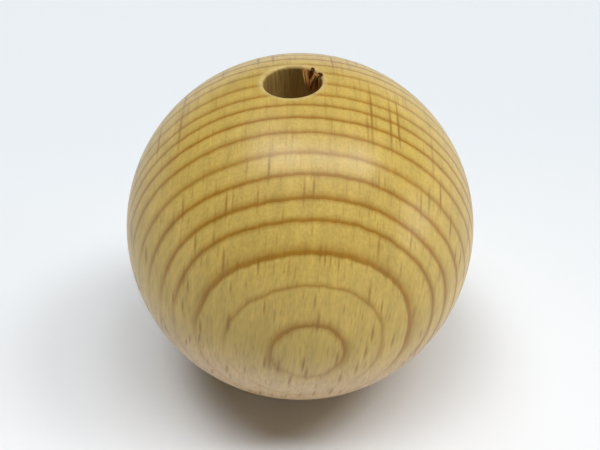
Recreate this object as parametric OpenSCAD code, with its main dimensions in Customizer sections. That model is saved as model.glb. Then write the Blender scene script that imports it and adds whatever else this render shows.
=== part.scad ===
// Round wooden bead: a ball turned from beech with a plain bore drilled right through it,
// along the grain. Millimetres, +Z up along the bore, origin at the middle of the ball.

/* [Ball] */
// Diameter of the turned ball, across the grain
ball_d = 50; // [30:0.5:80]

/* [Bore] */
// Diameter of the bore that runs through the ball from mouth to mouth
bore_d = 7.5; // [4:0.1:12]
// Radius that sanding leaves on the edge of each bore mouth
mouth_r = 0.5; // [0.2:0.05:1]

/* [Torn grain] */
// Number of grooves where the drill tore fibres out of the upper mouth
tear_count = 2; // [0:1:5]
// Turn about the bore, from +X, of the middle of the torn stretch, in degrees
tear_turn = 33; // [0:1:359]
// Turn from one groove to the next, in degrees
tear_pitch = 28; // [20:1:45]
// Width of a groove where it breaks out at the mouth
tear_w = 1; // [0.3:0.05:1.2]
// How far a groove reaches into the wood behind the bore's wall
tear_depth = 0.45; // [0.2:0.05:1.5]
// How far a groove runs down the bore before it fades out
tear_length = 4; // [1:0.5:10]

/* [Hidden] */
$fn = 120;
ball_r = ball_d / 2;
bore_r = bore_d / 2;
// The rounding of a mouth touches the bore's wall and the ball, so its centre lies here
round_x = bore_r + mouth_r;
round_z = sqrt(pow(ball_r - mouth_r, 2) - pow(round_x, 2));
// Highest and lowest point of the bead, on the crest of each rounded mouth
crest_z = round_z + mouth_r;
tear_r = tear_w / 2;

// Corner between the ball and the bore's wall, outside the rounding of a mouth
module mouth_corner() {
    reach = (ball_r + mouth_r) / (ball_r - mouth_r);
    difference() {
        polygon([
            [round_x, round_z],
            [round_x, round_z] * reach,
            [bore_r - mouth_r, round_z * reach],
            [bore_r - mouth_r, round_z]
        ]);
        translate([round_x, round_z]) circle(r = mouth_r);
    }
}

// Half section of the ball beside the bore, with the corner of each mouth rounded
module half_section() {
    difference() {
        intersection() {
            circle(r = ball_r);
            translate([bore_r, -ball_r]) square([ball_r, ball_d]);
        }
        mouth_corner();
        mirror([0, 1]) mouth_corner();
    }
}

// One torn groove: a sliver that is widest at the mouth and fades out down the wall
module torn_groove() {
    overshoot = 2 * mouth_r;
    spread = tear_r * (tear_length + overshoot) / tear_length;
    translate([bore_r + tear_depth - tear_r, 0, crest_z - tear_length])
        cylinder(h = tear_length + overshoot, r1 = 0, r2 = spread);
}

// The whole bead is one turned piece of wood
module bead() {
    color("burlywood")
    difference() {
        rotate_extrude() half_section();
        for (i = [0:1:tear_count - 1])
            rotate(tear_turn + tear_pitch * (i - (tear_count - 1) / 2)) torn_groove();
    }
}

bead();
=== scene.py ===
import math

import bpy
from mathutils import Matrix, Vector


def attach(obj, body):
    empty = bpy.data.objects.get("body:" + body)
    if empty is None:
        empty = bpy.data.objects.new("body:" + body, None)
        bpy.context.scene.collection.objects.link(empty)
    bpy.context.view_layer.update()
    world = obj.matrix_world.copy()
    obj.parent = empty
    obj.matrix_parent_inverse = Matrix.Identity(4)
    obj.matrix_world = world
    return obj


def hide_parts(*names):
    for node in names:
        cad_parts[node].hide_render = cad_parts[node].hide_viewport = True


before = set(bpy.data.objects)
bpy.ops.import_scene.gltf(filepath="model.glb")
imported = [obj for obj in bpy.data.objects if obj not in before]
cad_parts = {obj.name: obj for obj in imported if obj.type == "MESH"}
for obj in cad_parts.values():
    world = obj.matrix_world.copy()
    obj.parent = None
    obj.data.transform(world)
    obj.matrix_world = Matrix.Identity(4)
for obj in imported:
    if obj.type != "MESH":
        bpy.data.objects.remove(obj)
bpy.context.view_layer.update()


# The bead: one ball turned on a lathe from a beech blank, drilled right through along
# the grain and sanded smooth. It is raw wood, so the growth rings, rays and fibres of
# the blank run right through it, and the drill left the wall of the bore dark and rough.
MM = 0.001
ball_d = 50 * MM
bore_d = 7.5 * MM
mouth_r = 0.5 * MM
tear_turn = math.radians(33)
tear_pitch = math.radians(28)
tear_w = 1.0 * MM
tear_depth = 0.45 * MM
tear_length = 4 * MM
mouth_centre_r = bore_d / 2 + mouth_r
mouth_centre_z = math.sqrt((ball_d / 2 - mouth_r) ** 2 - mouth_centre_r**2)
crest_z = mouth_centre_z + mouth_r


def add(tree, kind, inputs=None, **settings):
    """Adds a node with its settings. Each input is a value, a socket or a node."""
    made = tree.nodes.new(kind)
    for name, value in settings.items():
        setattr(made, name, value)
    for key, value in (inputs or {}).items():
        if isinstance(value, bpy.types.Node):
            value = value.outputs[0]
        if isinstance(value, bpy.types.NodeSocket):
            tree.links.new(value, made.inputs[key])
        else:
            made.inputs[key].default_value = value
    return made


def linear(hex_colour):
    """An sRGB colour such as #c8a050 as the linear RGBA that a node takes."""
    parts = [int(hex_colour[i : i + 2], 16) / 255 for i in (1, 3, 5)]
    return [p / 12.92 if p <= 0.04045 else ((p + 0.055) / 1.055) ** 2.4 for p in parts] + [1]


def tree_with_inputs(name, sockets):
    """A Geometry Nodes tree with named inputs, its input node and their identifiers."""
    tree = bpy.data.node_groups.new(name, "GeometryNodeTree")
    tree.interface.new_socket("Geometry", in_out="OUTPUT", socket_type="NodeSocketGeometry")
    kinds = {float: "NodeSocketFloat", int: "NodeSocketInt"}
    ids = {}
    for label, value in sockets.items():
        kind = kinds.get(type(value), "NodeSocketMaterial")
        made = tree.interface.new_socket(label, in_out="INPUT", socket_type=kind)
        ids[made.identifier] = value
    return tree, add(tree, "NodeGroupInput").outputs, ids


def plain_mesh(name, tree, ids):
    """Runs a Geometry Nodes tree and keeps its result as one plain mesh object."""
    source = bpy.data.objects.new(name + "_source", bpy.data.meshes.new(name))
    bpy.context.collection.objects.link(source)
    modifier = source.modifiers.new("shape", "NODES")
    modifier.node_group = tree
    for identifier, value in ids.items():
        modifier[identifier] = value
    result = source.evaluated_get(bpy.context.evaluated_depsgraph_get())
    mesh = bpy.data.meshes.new_from_object(result)
    bpy.data.objects.remove(source)
    piece = bpy.data.objects.new(name, mesh)
    bpy.context.collection.objects.link(piece)
    return piece


# Steamed European beech, turned and sanded to a satin. Pale straw wood between thin
# darker lines of late wood, which fade in gently on the pith side and end more sharply on
# the bark side, with short brown ray flecks that all lie along the fibres.
beech = bpy.data.materials.new("beech_turned_and_sanded")
beech.use_nodes = True
wood = beech.node_tree
wood.nodes.clear()

# End of each year's growth, in mm from the middle of the ball towards the bark, then how
# dark its late wood is and over which share of the ring it fades in. Near the bark every
# other year was poor, with no dark line at its end.
rings = [
    (-27.5, 0.8, 0.3), (-25.3, 0.8, 0.5), (-22.9, 0.9, 0.3), (-20.5, 0.7, 0.4),
    (-18.3, 0.9, 0.6), (-15.7, 0.8, 0.3), (-13.6, 0.7, 0.4), (-11.1, 0.9, 0.5),
    (-8.9, 0.7, 0.3), (-6.4, 0.9, 0.6), (-4.2, 0.8, 0.4), (-1.8, 0.7, 0.5),
    (1.0, 0.7, 0.4), (3.4, 0.8, 0.6), (5.3, 0.9, 0.7), (7.3, 1.0, 0.8),
    (9.4, 0.9, 0.5), (12.0, 0.8, 0.4), (14.4, 1.0, 0.35), (16.75, 1.0, 0.6),
    (18.6, 1.0, 0.35), (21.0, 1.0, 0.8), (21.9, 0.0, 0.2), (22.8, 0.7, 0.5),
    (23.6, 0.0, 0.2), (24.5, 1.0, 0.7), (25.2, 0.0, 0.2), (26.5, 0.8, 0.3),
]
place = add(wood, "ShaderNodeTexCoord").outputs["Object"]
place_mm = add(wood, "ShaderNodeVectorMath", {0: place, "Scale": 1 / MM}, operation="SCALE")
# The fibres lean a little from the bore, and the rings face slightly off -Y
fibre_lean = math.radians(-8)
ring_turn = math.radians(1)
grain = add(
    wood, "ShaderNodeMapping", {"Vector": place_mm, "Rotation": (0, fibre_lean, ring_turn)}
)
grain_axes = add(wood, "ShaderNodeSeparateXYZ", {0: grain})
across, depth, along = grain_axes.outputs

# The trunk was never quite round, so each ring wanders by a few tenths of a millimetre.
# All the sizes of the wood's patterns are in mm.
wander_length = 15
wander_height = 0.5
ripple_size = (1.4, 1.4, 5)
ripple_height = 0.12
wander = add(
    wood, "ShaderNodeTexNoise", {"Vector": grain, "Scale": 1 / wander_length, "Detail": 0.0}
)
wander_mm = add(
    wood, "ShaderNodeMapRange", {0: wander, "To Min": -wander_height, "To Max": wander_height}
)
ripple_scale = add(
    wood, "ShaderNodeMapping", {"Vector": grain, "Scale": [1 / size for size in ripple_size]}
)
ripple = add(wood, "ShaderNodeTexNoise", {"Vector": ripple_scale, "Scale": 1.0, "Detail": 1.0})
ripple_mm = add(
    wood, "ShaderNodeMapRange", {0: ripple, "To Min": -ripple_height, "To Max": ripple_height}
)
moved = add(wood, "ShaderNodeMath", {0: wander_mm, 1: ripple_mm}, operation="ADD")
to_bark = add(wood, "ShaderNodeMath", {0: moved, 1: depth}, operation="SUBTRACT")
first = rings[0][0]
last = rings[-1][0]
share = add(
    wood, "ShaderNodeMapRange", {0: to_bark, "From Min": first, "From Max": last}
)
count = len(rings) - 1
curves = []
for column in range(3):
    lookup = add(wood, "ShaderNodeFloatCurve")
    points = lookup.mapping.curves[0].points
    for i, ring in enumerate(rings):
        x = (ring[0] - first) / (last - first) if column == 0 else i / count
        y = i / count if column == 0 else ring[column]
        if i == 0:
            points[0].location = (x, y)
        elif i == count:
            points[-1].location = (x, y)
        else:
            points.new(x, y)
    for point in points:
        point.handle_type = "VECTOR"
    lookup.mapping.update()
    curves.append(lookup)
year_share, darkness, fade = curves
wood.links.new(share.outputs[0], year_share.inputs["Value"])
year = add(wood, "ShaderNodeMath", {0: year_share, 1: count}, operation="MULTIPLY")
started = add(wood, "ShaderNodeMath", {0: year}, operation="FLOOR")
season = add(wood, "ShaderNodeMath", {0: year, 1: started}, operation="SUBTRACT")
# A line's soft bark side lies at the start of the next ring, up to this share of it
bark_side = 0.3
line_until = add(wood, "ShaderNodeMath", {0: year, 1: 1 - bark_side}, operation="ADD")
nearest = add(wood, "ShaderNodeMath", {0: line_until}, operation="FLOOR")
this_ring = add(wood, "ShaderNodeMath", {0: nearest, 1: count}, operation="DIVIDE")
for lookup in (darkness, fade):
    wood.links.new(this_ring.outputs[0], lookup.inputs["Value"])
fade_start = add(wood, "ShaderNodeMath", {0: 1.0, 1: fade}, operation="SUBTRACT")
late_fade = add(
    wood, "ShaderNodeMapRange", {0: season, "From Min": fade_start, "From Max": 1.0}
)
fade_power = 1.6
late_soft = add(wood, "ShaderNodeMath", {0: late_fade, 1: fade_power}, operation="POWER")
# How dark a line is over one ring, from the end of the last line to the end of its own
line_shape = add(wood, "ShaderNodeValToRGB", {0: season})
stops = line_shape.color_ramp.elements
stops[0].color = (0.85, 0.85, 0.85, 1)
stops[1].color = (0.95, 0.95, 0.95, 1)
for position, value in ((0.07, 0.4), (0.15, 0.0), (0.64, 0.0), (0.82, 0.45), (0.91, 1.0)):
    stop = stops.new(position)
    stop.color = (value, value, value, 1)
soft_weight = 0.24
line_weight = 0.74
soft_part = add(wood, "ShaderNodeMath", {0: late_soft, 1: soft_weight}, operation="MULTIPLY")
line_part = add(
    wood, "ShaderNodeMath", {0: line_shape.outputs[0], 1: line_weight}, operation="MULTIPLY"
)
late_sum = add(wood, "ShaderNodeMath", {0: soft_part, 1: line_part}, operation="ADD")
late_full = add(wood, "ShaderNodeMath", {0: late_sum, 1: darkness}, operation="MULTIPLY")
# Lower down the early wood is paler and pinker, partly its own colour and partly painted light
# bounced off the table. Lower down and to one side its late wood is hardly darker than the rest.
pink_and_bounce_from = 2.0
pink_and_bounce_full = -11.0
faint_from = 2.5
faint_full = -6.0
faint_slant = 0.25
faint_share = 0.3
# Paler and pinker lower down: the wood's own colour plus painted light bounced off the table
lower_pink_and_bounce = add(
    wood, "ShaderNodeMapRange", {0: along, "From Min": pink_and_bounce_from, "From Max": pink_and_bounce_full},
    interpolation_type="SMOOTHSTEP",
)
to_end = add(
    wood, "ShaderNodeMath", {0: across, 1: faint_slant, 2: along}, operation="MULTIPLY_ADD"
)
late_left = add(
    wood, "ShaderNodeMapRange",
    {0: to_end, "From Min": faint_from, "From Max": faint_full,
     "To Min": 1.0, "To Max": faint_share},
    interpolation_type="SMOOTHSTEP",
)
late = add(wood, "ShaderNodeMath", {0: late_full, 1: late_left}, operation="MULTIPLY")

# Rays: thin sheets of cells from pith to bark. Each is drawn as a flat lens, by cells
# as large as a ray, of which only some are kept.
lens_r = 0.6
smallest_lens = 0.6 * lens_r
flecks = []
# The broad rays, then the fine ones: size of a cell, share kept, shift, how dark it is
for cell_size, kept, shift, ray_dark in (
    ((0.6, 20.0, 4.4), 0.42, 3.1, 0.78),
    ((0.4, 7.0, 2.2), 0.5, 7.7, 0.35),
):
    cells = add(
        wood, "ShaderNodeMapping",
        {"Vector": grain, "Location": (shift,) * 3, "Scale": [1 / size for size in cell_size]},
    )
    ray_cells = add(wood, "ShaderNodeTexVoronoi", {"Vector": cells, "Scale": 1.0})
    lot = add(wood, "ShaderNodeSeparateColor", {0: ray_cells.outputs["Color"]})
    chosen = add(wood, "ShaderNodeMath", {0: lot.outputs[0], 1: kept}, operation="LESS_THAN")
    size_lot = add(
        wood, "ShaderNodeMapRange",
        {0: lot.outputs[1], "To Min": smallest_lens, "To Max": lens_r},
    )
    lens = add(
        wood, "ShaderNodeMapRange",
        {0: ray_cells.outputs["Distance"], "From Min": size_lot, "From Max": 0.0},
        interpolation_type="SMOOTHSTEP",
    )
    fleck = add(wood, "ShaderNodeMath", {0: lens, 1: chosen}, operation="MULTIPLY")
    flecks.append(add(wood, "ShaderNodeMath", {0: fleck, 1: ray_dark}, operation="MULTIPLY"))
ray_part = add(wood, "ShaderNodeMath", {0: flecks[0], 1: flecks[1]}, operation="MAXIMUM")

# Fibres and pores are 0.05 mm wide, too fine to show, so they are drawn as streaks
# along the grain of 0.3 mm, in bundles of a millimetre
fibre_size = (0.3, 0.3, 3.0)
bundle_size = (1.0, 3.0, 8.0)
blotch_size = 9
streak_scale = add(
    wood, "ShaderNodeMapping", {"Vector": grain, "Scale": [1 / size for size in fibre_size]}
)
streaks = add(wood, "ShaderNodeTexNoise", {"Vector": streak_scale, "Scale": 1.0, "Detail": 2.0})
bundle_scale = add(
    wood, "ShaderNodeMapping", {"Vector": grain, "Scale": [1 / size for size in bundle_size]}
)
bundles = add(wood, "ShaderNodeTexNoise", {"Vector": bundle_scale, "Scale": 1.0, "Detail": 1.0})
blotch = add(
    wood, "ShaderNodeTexNoise", {"Vector": grain, "Scale": 1 / blotch_size, "Detail": 2.0}
)

# Below, the second colour also carries painted light bounced off the table, the fifth a painted
# highlight on the mouths' rounded edges, and the last two partly painted shade in the bore and its
# torn grooves
straw = linear("#d2b35d")
pinkish_and_bounce = linear("#d6b789")
late_colour = linear("#a4741d")
ray_colour = linear("#976822")
rim_highlight_colour = linear("#e5d091")
bore_wall_and_shade_colour = linear("#ac8c67")
torn_and_shade_colour = linear("#8f5e2e")
early = add(wood, "ShaderNodeMix", {0: lower_pink_and_bounce, 6: straw, 7: pinkish_and_bounce}, data_type="RGBA")
ring_mix = add(
    wood, "ShaderNodeMix", {0: late, 6: early.outputs[2], 7: late_colour}, data_type="RGBA"
)
tone = 1.0
for pattern, swing in ((streaks, 0.24), (bundles, 0.18), (blotch, 0.12)):
    factor = add(
        wood, "ShaderNodeMapRange", {0: pattern, "To Min": 1 - swing, "To Max": 1 + swing}
    )
    tone = add(wood, "ShaderNodeMath", {0: tone, 1: factor}, operation="MULTIPLY")
toned = add(
    wood, "ShaderNodeVectorMath", {0: ring_mix.outputs[2], "Scale": tone}, operation="SCALE"
)
with_rays = add(
    wood, "ShaderNodeMix", {0: ray_part, 6: toned, 7: ray_colour}, data_type="RGBA"
)

# A paler band round the rounded edge of each mouth is a painted highlight on the rounding. The
# wall of the bore is drawn duller and darker, partly the drill-cut wall's own colour and partly
# painted shade inside the bore, and darker still where the drill tore wood out, partly torn end
# grain and partly painted shade in the grooves.
wall_r = bore_d / 2 / MM
rim_highlight_from = wall_r + 1.05
rim_highlight_full = wall_r + 0.35
rim_highlight_share = 0.45
dull_and_shade_from = wall_r + 0.15
dull_and_shade_full = wall_r + 0.03
dull_and_shade_share = 0.4
centre_axes = add(wood, "ShaderNodeSeparateXYZ", {0: place_mm})
flat = add(
    wood, "ShaderNodeCombineXYZ", {0: centre_axes.outputs[0], 1: centre_axes.outputs[1]}
)
radius = add(wood, "ShaderNodeVectorMath", {0: flat}, operation="LENGTH")
# A painted highlight round the rounded edge of each mouth
rim_highlight = add(
    wood, "ShaderNodeMapRange",
    {0: radius.outputs["Value"], "From Min": rim_highlight_from, "From Max": rim_highlight_full,
     "To Max": rim_highlight_share},
    interpolation_type="SMOOTHSTEP",
)
with_rim_highlight = add(
    wood, "ShaderNodeMix", {0: rim_highlight, 6: with_rays.outputs[2], 7: rim_highlight_colour},
    data_type="RGBA",
)
in_bore = add(
    wood, "ShaderNodeMapRange",
    {0: radius.outputs["Value"], "From Min": dull_and_shade_from, "From Max": dull_and_shade_full},
    interpolation_type="SMOOTHSTEP",
)
# The bore's wall: partly its own duller colour, partly painted shade inside the bore
bore_wall_and_shade = add(
    wood, "ShaderNodeMix", {0: dull_and_shade_share, 6: with_rays.outputs[2], 7: bore_wall_and_shade_colour},
    data_type="RGBA",
)
drilled_and_shaded = add(
    wood, "ShaderNodeMix",
    {0: in_bore, 6: with_rim_highlight.outputs[2], 7: bore_wall_and_shade.outputs[2]}, data_type="RGBA",
)
# Where wood was torn out: torn end grain, partly painted shade in the grooves
torn = add(wood, "ShaderNodeAttribute", attribute_name="torn").outputs["Fac"]
colour = add(
    wood, "ShaderNodeMix", {0: torn, 6: drilled_and_shaded.outputs[2], 7: torn_and_shade_colour},
    data_type="RGBA",
)
# A satin that is rougher on some fibres than on others, with the rays slightly sunk
smoothest = 0.44
roughest = 0.56
ray_sunk = 0.4
fibre_depth = 0.05 * MM
rough = add(wood, "ShaderNodeMapRange", {0: streaks, "To Min": smoothest, "To Max": roughest})
ray_dip = add(wood, "ShaderNodeMath", {0: ray_part, 1: ray_sunk}, operation="MULTIPLY")
relief = add(wood, "ShaderNodeMath", {0: streaks, 1: ray_dip}, operation="SUBTRACT")
bump = add(
    wood, "ShaderNodeBump", {"Height": relief, "Strength": 0.1, "Distance": fibre_depth}
)
surface = add(
    wood, "ShaderNodeBsdfPrincipled",
    {"Base Color": colour.outputs[2], "Roughness": rough, "Normal": bump, "IOR": 1.45,
     "Specular IOR Level": 0.2, "Coat Weight": 0.5, "Coat Roughness": 0.26,
     "Coat IOR": 1.45},
)
add(wood, "ShaderNodeOutputMaterial", {0: surface})

sizes = {
    "Ball diameter": ball_d, "Bore diameter": bore_d, "Mouth radius": mouth_r,
    "Tear turn": tear_turn, "Tear pitch": tear_pitch, "Tear width": tear_w,
    "Tear depth": tear_depth, "Tear length": tear_length, "Chip turn": math.radians(-97),
    "Chip width": 2.2 * MM, "Chip depth": 0.3 * MM, "Chip length": 1.2 * MM,
    "Streak depth": 0.12 * MM,
    "Turns": 320, "Ball rows": 130, "Mouth rows": 14, "Torn rows": 60, "Bore rows": 50,
    "Wood": beech,
}
turning, given, ids = tree_with_inputs("turned_ball", sizes)
ball_r = add(turning, "ShaderNodeMath", {0: given["Ball diameter"], 1: 0.5}, operation="MULTIPLY")
bore_r = add(turning, "ShaderNodeMath", {0: given["Bore diameter"], 1: 0.5}, operation="MULTIPLY")
round_x = add(turning, "ShaderNodeMath", {0: bore_r, 1: given["Mouth radius"]}, operation="ADD")
inner_r = add(turning, "ShaderNodeMath", {0: ball_r, 1: given["Mouth radius"]}, operation="SUBTRACT")
inner_sq = add(turning, "ShaderNodeMath", {0: inner_r, 1: 2.0}, operation="POWER")
round_sq = add(turning, "ShaderNodeMath", {0: round_x, 1: 2.0}, operation="POWER")
rest_sq = add(turning, "ShaderNodeMath", {0: inner_sq, 1: round_sq}, operation="SUBTRACT")
round_z = add(turning, "ShaderNodeMath", {0: rest_sq}, operation="SQRT")
round_low = add(turning, "ShaderNodeMath", {0: round_z, 1: -1.0}, operation="MULTIPLY")
touch = add(turning, "ShaderNodeMath", {0: round_z, 1: round_x}, operation="ARCTAN2")
# The outline is drawn from the wall of the bore, which the lathe's path follows
wall_x = 0.0
ball_x = add(turning, "ShaderNodeMath", {0: bore_r, 1: -1.0}, operation="MULTIPLY")
parts = []
ball_start = add(turning, "ShaderNodeMath", {0: touch, 1: -1.0}, operation="MULTIPLY")
ball_sweep = add(turning, "ShaderNodeMath", {0: touch, 1: 2.0}, operation="MULTIPLY")
mouth_sweep = add(turning, "ShaderNodeMath", {0: math.pi, 1: touch}, operation="SUBTRACT")
for rows, radius_in, start, sweep, x, y in (
    (given["Ball rows"], ball_r, ball_start, ball_sweep, ball_x, 0.0),
    (given["Mouth rows"], given["Mouth radius"], touch, mouth_sweep,
     given["Mouth radius"], round_z),
    (given["Mouth rows"], given["Mouth radius"], math.pi, mouth_sweep,
     given["Mouth radius"], round_low),
):
    arc = add(
        turning, "GeometryNodeCurveArc",
        {"Resolution": rows, "Radius": radius_in, "Start Angle": start, "Sweep Angle": sweep},
        mode="RADIUS",
    )
    centre = add(turning, "ShaderNodeCombineXYZ", {0: x, 1: y})
    parts.append(
        add(turning, "GeometryNodeTransform", {"Geometry": arc, "Translation": centre})
    )
torn_low = add(
    turning, "ShaderNodeMath", {0: round_z, 1: given["Tear length"]}, operation="SUBTRACT"
)
for rows, upper, lower in (
    (given["Torn rows"], round_z, torn_low),
    (given["Bore rows"], torn_low, round_low),
):
    top = add(turning, "ShaderNodeCombineXYZ", {0: wall_x, 1: upper})
    foot = add(turning, "ShaderNodeCombineXYZ", {0: wall_x, 1: lower})
    wall = add(turning, "GeometryNodeCurvePrimitiveLine", {"Start": top, "End": foot})
    parts.append(add(turning, "GeometryNodeResampleCurve", {"Curve": wall, "Count": rows}))
outline = add(turning, "GeometryNodeJoinGeometry")
for part in parts:
    turning.links.new(part.outputs[0], outline.inputs[0])
path = add(
    turning, "GeometryNodeCurvePrimitiveCircle",
    {"Resolution": given["Turns"], "Radius": bore_r}, mode="RADIUS",
)
turned = add(
    turning, "GeometryNodeCurveToMesh", {"Curve": path.outputs[0], "Profile Curve": outline}
)
weld = 0.002 * MM
whole = add(turning, "GeometryNodeMergeByDistance", {"Geometry": turned, "Distance": weld})

# Each torn groove is a cone that widens up to the mouth. What lies inside it moves out
# to its far side, and the drill's rough streaks run down the rest of the wall.
fray_size = 0.5 * MM
fray_turn = math.radians(9)
spot = add(turning, "GeometryNodeInputPosition")
spot_x, spot_y, spot_z = add(turning, "ShaderNodeSeparateXYZ", {0: spot}).outputs
fray = add(
    turning, "ShaderNodeTexNoise", {"Vector": spot, "Scale": 1 / fray_size, "Detail": 1.0}
)
frayed_turn = add(
    turning, "ShaderNodeMapRange", {0: fray, "To Min": -fray_turn, "To Max": fray_turn}
)
plain_turn = add(turning, "ShaderNodeMath", {0: spot_y, 1: spot_x}, operation="ARCTAN2")
spot_turn = add(turning, "ShaderNodeMath", {0: plain_turn, 1: frayed_turn}, operation="ADD")
outwards = add(turning, "ShaderNodeCombineXYZ", {0: spot_x, 1: spot_y})
spot_r = add(turning, "ShaderNodeVectorMath", {0: outwards}, operation="LENGTH").outputs["Value"]
crest = add(turning, "ShaderNodeMath", {0: round_z, 1: given["Mouth radius"]}, operation="ADD")
half_pitch = add(
    turning, "ShaderNodeMath", {0: given["Tear pitch"], 1: 0.5}, operation="MULTIPLY"
)
reached = spot_r
for side, mark in ((-1.0, "Tear"), (1.0, "Tear"), (0.0, "Chip")):
    steps = add(
        turning, "ShaderNodeMath", {0: half_pitch, 1: side, 2: given[mark + " turn"]},
        operation="MULTIPLY_ADD",
    )
    aside = add(turning, "ShaderNodeMath", {0: spot_turn, 1: steps}, operation="SUBTRACT")
    mouth_half = add(
        turning, "ShaderNodeMath", {0: given[mark + " width"], 1: 0.5}, operation="MULTIPLY"
    )
    cone_foot = add(
        turning, "ShaderNodeMath", {0: crest, 1: given[mark + " length"]}, operation="SUBTRACT"
    )
    cone_r = add(
        turning, "ShaderNodeMapRange",
        {0: spot_z, "From Min": cone_foot, "From Max": crest, "To Max": mouth_half},
    )
    wall_and_depth = add(
        turning, "ShaderNodeMath", {0: bore_r, 1: given[mark + " depth"]}, operation="ADD"
    )
    axis_r = add(
        turning, "ShaderNodeMath", {0: wall_and_depth, 1: mouth_half}, operation="SUBTRACT"
    )
    sine = add(turning, "ShaderNodeMath", {0: aside}, operation="SINE")
    cosine = add(turning, "ShaderNodeMath", {0: aside}, operation="COSINE")
    off_axis = add(turning, "ShaderNodeMath", {0: axis_r, 1: sine}, operation="MULTIPLY")
    off_sq = add(turning, "ShaderNodeMath", {0: off_axis, 1: 2.0}, operation="POWER")
    cone_sq = add(turning, "ShaderNodeMath", {0: cone_r, 1: 2.0}, operation="POWER")
    gap = add(turning, "ShaderNodeMath", {0: cone_sq, 1: off_sq}, operation="SUBTRACT")
    inside = add(turning, "ShaderNodeMath", {0: gap, 1: 0.0}, operation="MAXIMUM")
    half_chord = add(turning, "ShaderNodeMath", {0: inside}, operation="SQRT")
    far_side = add(
        turning, "ShaderNodeMath", {0: axis_r, 1: cosine, 2: half_chord},
        operation="MULTIPLY_ADD",
    )
    reached = add(turning, "ShaderNodeMath", {0: reached, 1: far_side}, operation="MAXIMUM")
torn_out = add(turning, "ShaderNodeMath", {0: reached, 1: spot_r}, operation="SUBTRACT")
surely_torn = 0.1 * MM
drill_streak = (0.4 * MM, 0.4 * MM, 6 * MM)
streak_band = 0.3 * MM
torn_share = add(turning, "ShaderNodeMapRange", {0: torn_out, "From Max": surely_torn})
streak_scaled = add(
    turning, "ShaderNodeVectorMath", {0: spot, 1: [1 / size for size in drill_streak]},
    operation="MULTIPLY",
)
streak_height = add(
    turning, "ShaderNodeTexNoise", {"Vector": streak_scaled, "Scale": 1.0, "Detail": 2.0}
)
rough_end = add(turning, "ShaderNodeMath", {0: bore_r, 1: streak_band}, operation="ADD")
rough_share = add(
    turning, "ShaderNodeMapRange",
    {0: spot_r, "From Min": bore_r, "From Max": rough_end, "To Min": 1.0, "To Max": 0.0},
)
rough_full = add(
    turning, "ShaderNodeMapRange",
    {0: streak_height, "From Min": 0.45, "From Max": 0.8, "To Max": given["Streak depth"]},
)
roughness = add(turning, "ShaderNodeMath", {0: rough_full, 1: rough_share}, operation="MULTIPLY")
pushed = add(turning, "ShaderNodeMath", {0: torn_out, 1: roughness}, operation="ADD")
direction = add(turning, "ShaderNodeVectorMath", {0: outwards}, operation="NORMALIZE")
push = add(turning, "ShaderNodeVectorMath", {0: direction, "Scale": pushed}, operation="SCALE")
marked = add(
    turning, "GeometryNodeStoreNamedAttribute",
    {"Geometry": whole, "Name": "torn", "Value": torn_share},
)
ragged = add(turning, "GeometryNodeSetPosition", {"Geometry": marked, "Offset": push})
smooth = add(turning, "GeometryNodeSetShadeSmooth", {"Geometry": ragged})
real = add(turning, "GeometryNodeRealizeInstances", {"Geometry": smooth})
dressed = add(turning, "GeometryNodeSetMaterial", {"Geometry": real, "Material": given["Wood"]})
add(turning, "NodeGroupOutput", {0: dressed})
bead = plain_mesh("turned_bead", turning, ids)
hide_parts("bead")
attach(bead, "root")

# Two strips of torn fibres, which the drill left hanging in the upper mouth. Each is a
# few stiff splinters side by side, still rooted at the mouth beside the grooves.
splinter_wood = bpy.data.materials.new("beech_torn_end")
splinter_wood.use_nodes = True
raw = splinter_wood.node_tree
raw_streak = (0.2 * MM, 0.2 * MM, 1.5 * MM)
raw_dark = linear("#a36c2a")
raw_pale = linear("#e5af64")
raw_place = add(raw, "ShaderNodeTexCoord").outputs["Object"]
raw_scale = add(
    raw, "ShaderNodeMapping", {"Vector": raw_place, "Scale": [1 / size for size in raw_streak]}
)
raw_streaks = add(raw, "ShaderNodeTexNoise", {"Vector": raw_scale, "Scale": 1.0, "Detail": 2.0})
raw_share = add(raw, "ShaderNodeMapRange", {0: raw_streaks, "From Min": 0.3, "From Max": 0.7})
raw_colour = add(
    raw, "ShaderNodeMix", {0: raw_share, 6: raw_dark, 7: raw_pale}, data_type="RGBA"
)
raw_surface = raw.nodes["Principled BSDF"]
raw_surface.inputs["Roughness"].default_value = 0.7
raw.links.new(raw_colour.outputs[2], raw_surface.inputs["Base Color"])

splinter_sizes = {
    "Splinter width": 0.32 * MM, "Splinters in a strip": 8, "Spread": 0.28 * MM,
    "Seed": 5, "Wood": splinter_wood,
}
hanging, hung, splinter_ids = tree_with_inputs("torn_fibres", splinter_sizes)
splinter_r = add(
    hanging, "ShaderNodeMath", {0: hung["Splinter width"], 1: 0.5}, operation="MULTIPLY"
)
section = add(
    hanging, "GeometryNodeCurvePrimitiveCircle", {"Resolution": 7, "Radius": splinter_r},
    mode="RADIUS",
)
along_splinter = add(hanging, "GeometryNodeSplineParameter").outputs["Factor"]
taper = add(hanging, "ShaderNodeMapRange", {0: along_splinter, "To Min": 1.0, "To Max": 0.4})
strips = add(hanging, "GeometryNodeJoinGeometry")
# The splinters spread sideways and down from the first, and never above the mouth's crest
spread_low = add(hanging, "ShaderNodeMath", {0: hung["Spread"], 1: -1.0}, operation="MULTIPLY")
lowest = add(hanging, "ShaderNodeCombineXYZ", {0: spread_low, 1: spread_low, 2: spread_low})
highest = add(hanging, "ShaderNodeCombineXYZ", {0: hung["Spread"], 1: hung["Spread"]})
root_hold = 0.1 * MM
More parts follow.
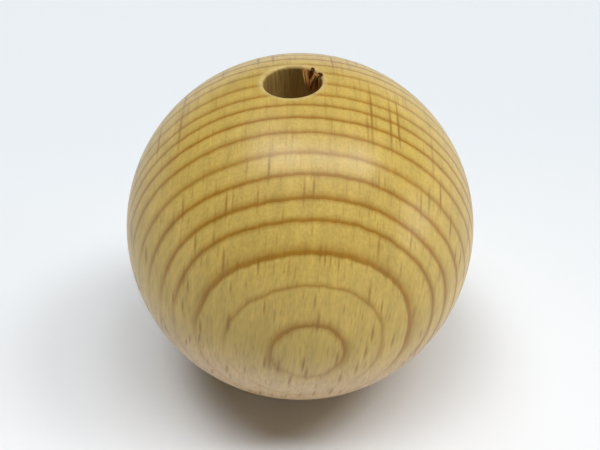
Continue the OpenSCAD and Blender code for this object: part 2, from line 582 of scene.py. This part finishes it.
# Turn and depth below the crest of a strip's root and tip, and how far its middle bows in
for root_turn, root_deep, tip_turn, tip_deep, bow in (
    (63, 0.25 * MM, 52, 2.6 * MM, 0.6 * MM),
    (33, 0.35 * MM, 49, 2.9 * MM, 0.8 * MM),
):
    ends = []
    for turn_degrees, deep, from_axis in (
        (root_turn, root_deep, bore_d / 2 + root_hold),
        ((root_turn + tip_turn) / 2, (root_deep + tip_deep) / 2, bore_d / 2 - bow),
        (tip_turn, tip_deep, bore_d / 2 - bow / 2),
    ):
        angle = math.radians(turn_degrees)
        ends.append((from_axis * math.cos(angle), from_axis * math.sin(angle), crest_z - deep))
    bent = add(
        hanging, "GeometryNodeCurveQuadraticBezier",
        {"Resolution": 12, "Start": ends[0], "Middle": ends[1], "End": ends[2]},
    )
    copies = add(
        hanging, "GeometryNodeDuplicateElements",
        {"Geometry": bent, "Amount": hung["Splinters in a strip"]}, domain="SPLINE",
    )
    seed = add(hanging, "ShaderNodeMath", {0: hung["Seed"], 1: root_turn}, operation="ADD")
    scatter = add(
        hanging, "FunctionNodeRandomValue",
        {"Min": lowest, "Max": highest, "ID": copies.outputs["Duplicate Index"], "Seed": seed},
        data_type="FLOAT_VECTOR",
    )
    spread_out = add(hanging, "GeometryNodeSetPosition", {"Geometry": copies, "Offset": scatter})
    splinters = add(
        hanging, "GeometryNodeCurveToMesh",
        {"Curve": spread_out, "Profile Curve": section.outputs[0], "Scale": taper,
         "Fill Caps": True},
    )
    hanging.links.new(splinters.outputs[0], strips.inputs[0])
strips_real = add(hanging, "GeometryNodeRealizeInstances", {"Geometry": strips})
strips_dressed = add(
    hanging, "GeometryNodeSetMaterial", {"Geometry": strips_real, "Material": hung["Wood"]}
)
add(hanging, "NodeGroupOutput", {0: strips_dressed})
torn_fibres = plain_mesh("torn_fibres", hanging, splinter_ids)
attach(torn_fibres, "root")


# The table that the bead stands on: one flat sheet of smooth matt card, white in front
# and turning a cool pale grey behind the bead, which is a painted fall-off of the light.
table_half = 1.5
card_front = -32 * MM
card_back = 60 * MM
front_colour = linear("#fafcff")
shaded_back_colour = linear("#edf3f7")
corners = ((-1, -1), (1, -1), (1, 1), (-1, 1))
floor_mesh = bpy.data.meshes.new("floor")
floor_mesh.from_pydata(
    [(table_half * x, table_half * y, -crest_z) for x, y in corners], [], [(0, 1, 2, 3)]
)
floor = bpy.data.objects.new("floor", floor_mesh)
bpy.context.collection.objects.link(floor)
table = bpy.data.materials.new("matt_card")
table.use_nodes = True
card = table.node_tree
card_surface = card.nodes["Principled BSDF"]
card_surface.inputs["Roughness"].default_value = 0.8
card_surface.inputs["Specular IOR Level"].default_value = 0.1
card_place = add(card, "ShaderNodeTexCoord").outputs["Object"]
card_axes = add(card, "ShaderNodeSeparateXYZ", {0: card_place})
backwards = add(
    card, "ShaderNodeMapRange",
    {0: card_axes.outputs[1], "From Min": card_front, "From Max": card_back},
)
# White in front, then painted shade: cooler and greyer towards the back
card_tone_and_shade = add(
    card, "ShaderNodeMix", {0: backwards, 6: front_colour, 7: shaded_back_colour}, data_type="RGBA"
)
card.links.new(card_tone_and_shade.outputs[2], card_surface.inputs["Base Color"])
floor_mesh.materials.append(table)

# A long lamp overhead, made of discs side by side, and a window on the right. The walls
# of the room are white up to 14 degrees above the table, where they are seen straight on
# or in a gloss, and the room itself gives hardly any light.
wall_top = math.sin(math.radians(14))
wall_fades_from = math.sin(math.radians(10))
wall_colour = linear("#eff3f6")
room_glow = 0.01
world = bpy.data.worlds.new("soft_studio")
bpy.context.scene.world = world
world.use_nodes = True
room = world.node_tree
light_path = add(room, "ShaderNodeLightPath").outputs
mirrored = add(
    room, "ShaderNodeMath", {0: light_path["Is Glossy Ray"], 1: light_path["Is Transmission Ray"]},
    operation="MAXIMUM",
)
seen = add(
    room, "ShaderNodeMath", {0: light_path["Is Camera Ray"], 1: mirrored}, operation="MAXIMUM"
)
towards = add(room, "ShaderNodeTexCoord").outputs["Generated"]
above = add(room, "ShaderNodeSeparateXYZ", {0: towards}).outputs[2]
wall_share = add(
    room, "ShaderNodeMapRange",
    {0: above, "From Min": wall_fades_from, "From Max": wall_top, "To Min": 1.0, "To Max": 0.0},
)
wall_seen = add(room, "ShaderNodeMath", {0: seen, 1: wall_share}, operation="MULTIPLY")
room_light = add(room, "ShaderNodeMapRange", {0: wall_seen, "To Min": room_glow})
room.nodes["Background"].inputs["Color"].default_value = wall_colour
room.links.new(room_light.outputs[0], room.nodes["Background"].inputs["Strength"])

# Turn from +X, height above the table, width, all in degrees, then strength
for name, turn, height, width, strength in (
    ("overhead_back", 130, 65, 20, 0.06),
    ("overhead_far_left", 180, 72, 20, 0.15),
    ("overhead_left", 200, 81, 20, 0.16),
    ("overhead", -80, 85, 20, 0.165),
    ("overhead_right", -18, 72, 18, 0.215),
    ("window_high", -4, 54, 18, 0.27),
    ("window_low", -10, 8, 24, 0.16),
):
    lamp = bpy.data.lights.new(name, "SUN")
    lamp.angle = math.radians(width)
    lamp.energy = math.pi * strength
    light = bpy.data.objects.new(name, lamp)
    around = math.radians(turn)
    up = math.radians(height)
    shines_from = Vector(
        (math.cos(around) * math.cos(up), math.sin(around) * math.cos(up), math.sin(up))
    )
    light.rotation_euler = shines_from.to_track_quat("Z", "Y").to_euler()
    bpy.context.collection.objects.link(light)

# A camera with a 51 mm lens on a 36 mm sensor, close to the bead and well above it, tilted
# a few degrees.
camera_far = 125 * MM
camera_height = math.radians(40.8)
camera_roll = math.radians(-3)
camera_lens = 50.97
sensor_width = 36
aim = Vector((0, 0, 0.25 * MM))
camera = bpy.data.objects.new("camera", bpy.data.cameras.new("camera"))
camera.data.sensor_width = sensor_width
camera.data.lens = camera_lens
camera.data.clip_start = 0.005
camera.data.clip_end = 10
away = Vector((0, -math.cos(camera_height), math.sin(camera_height))) * camera_far
facing = (aim - away).to_track_quat("-Z", "Y").to_matrix().to_4x4()
camera.matrix_world = Matrix.Translation(away) @ facing @ Matrix.Rotation(camera_roll, 4, "Z")
bpy.context.collection.objects.link(camera)
bpy.context.scene.camera = camera
bpy.context.scene.view_settings.view_transform = "Standard"
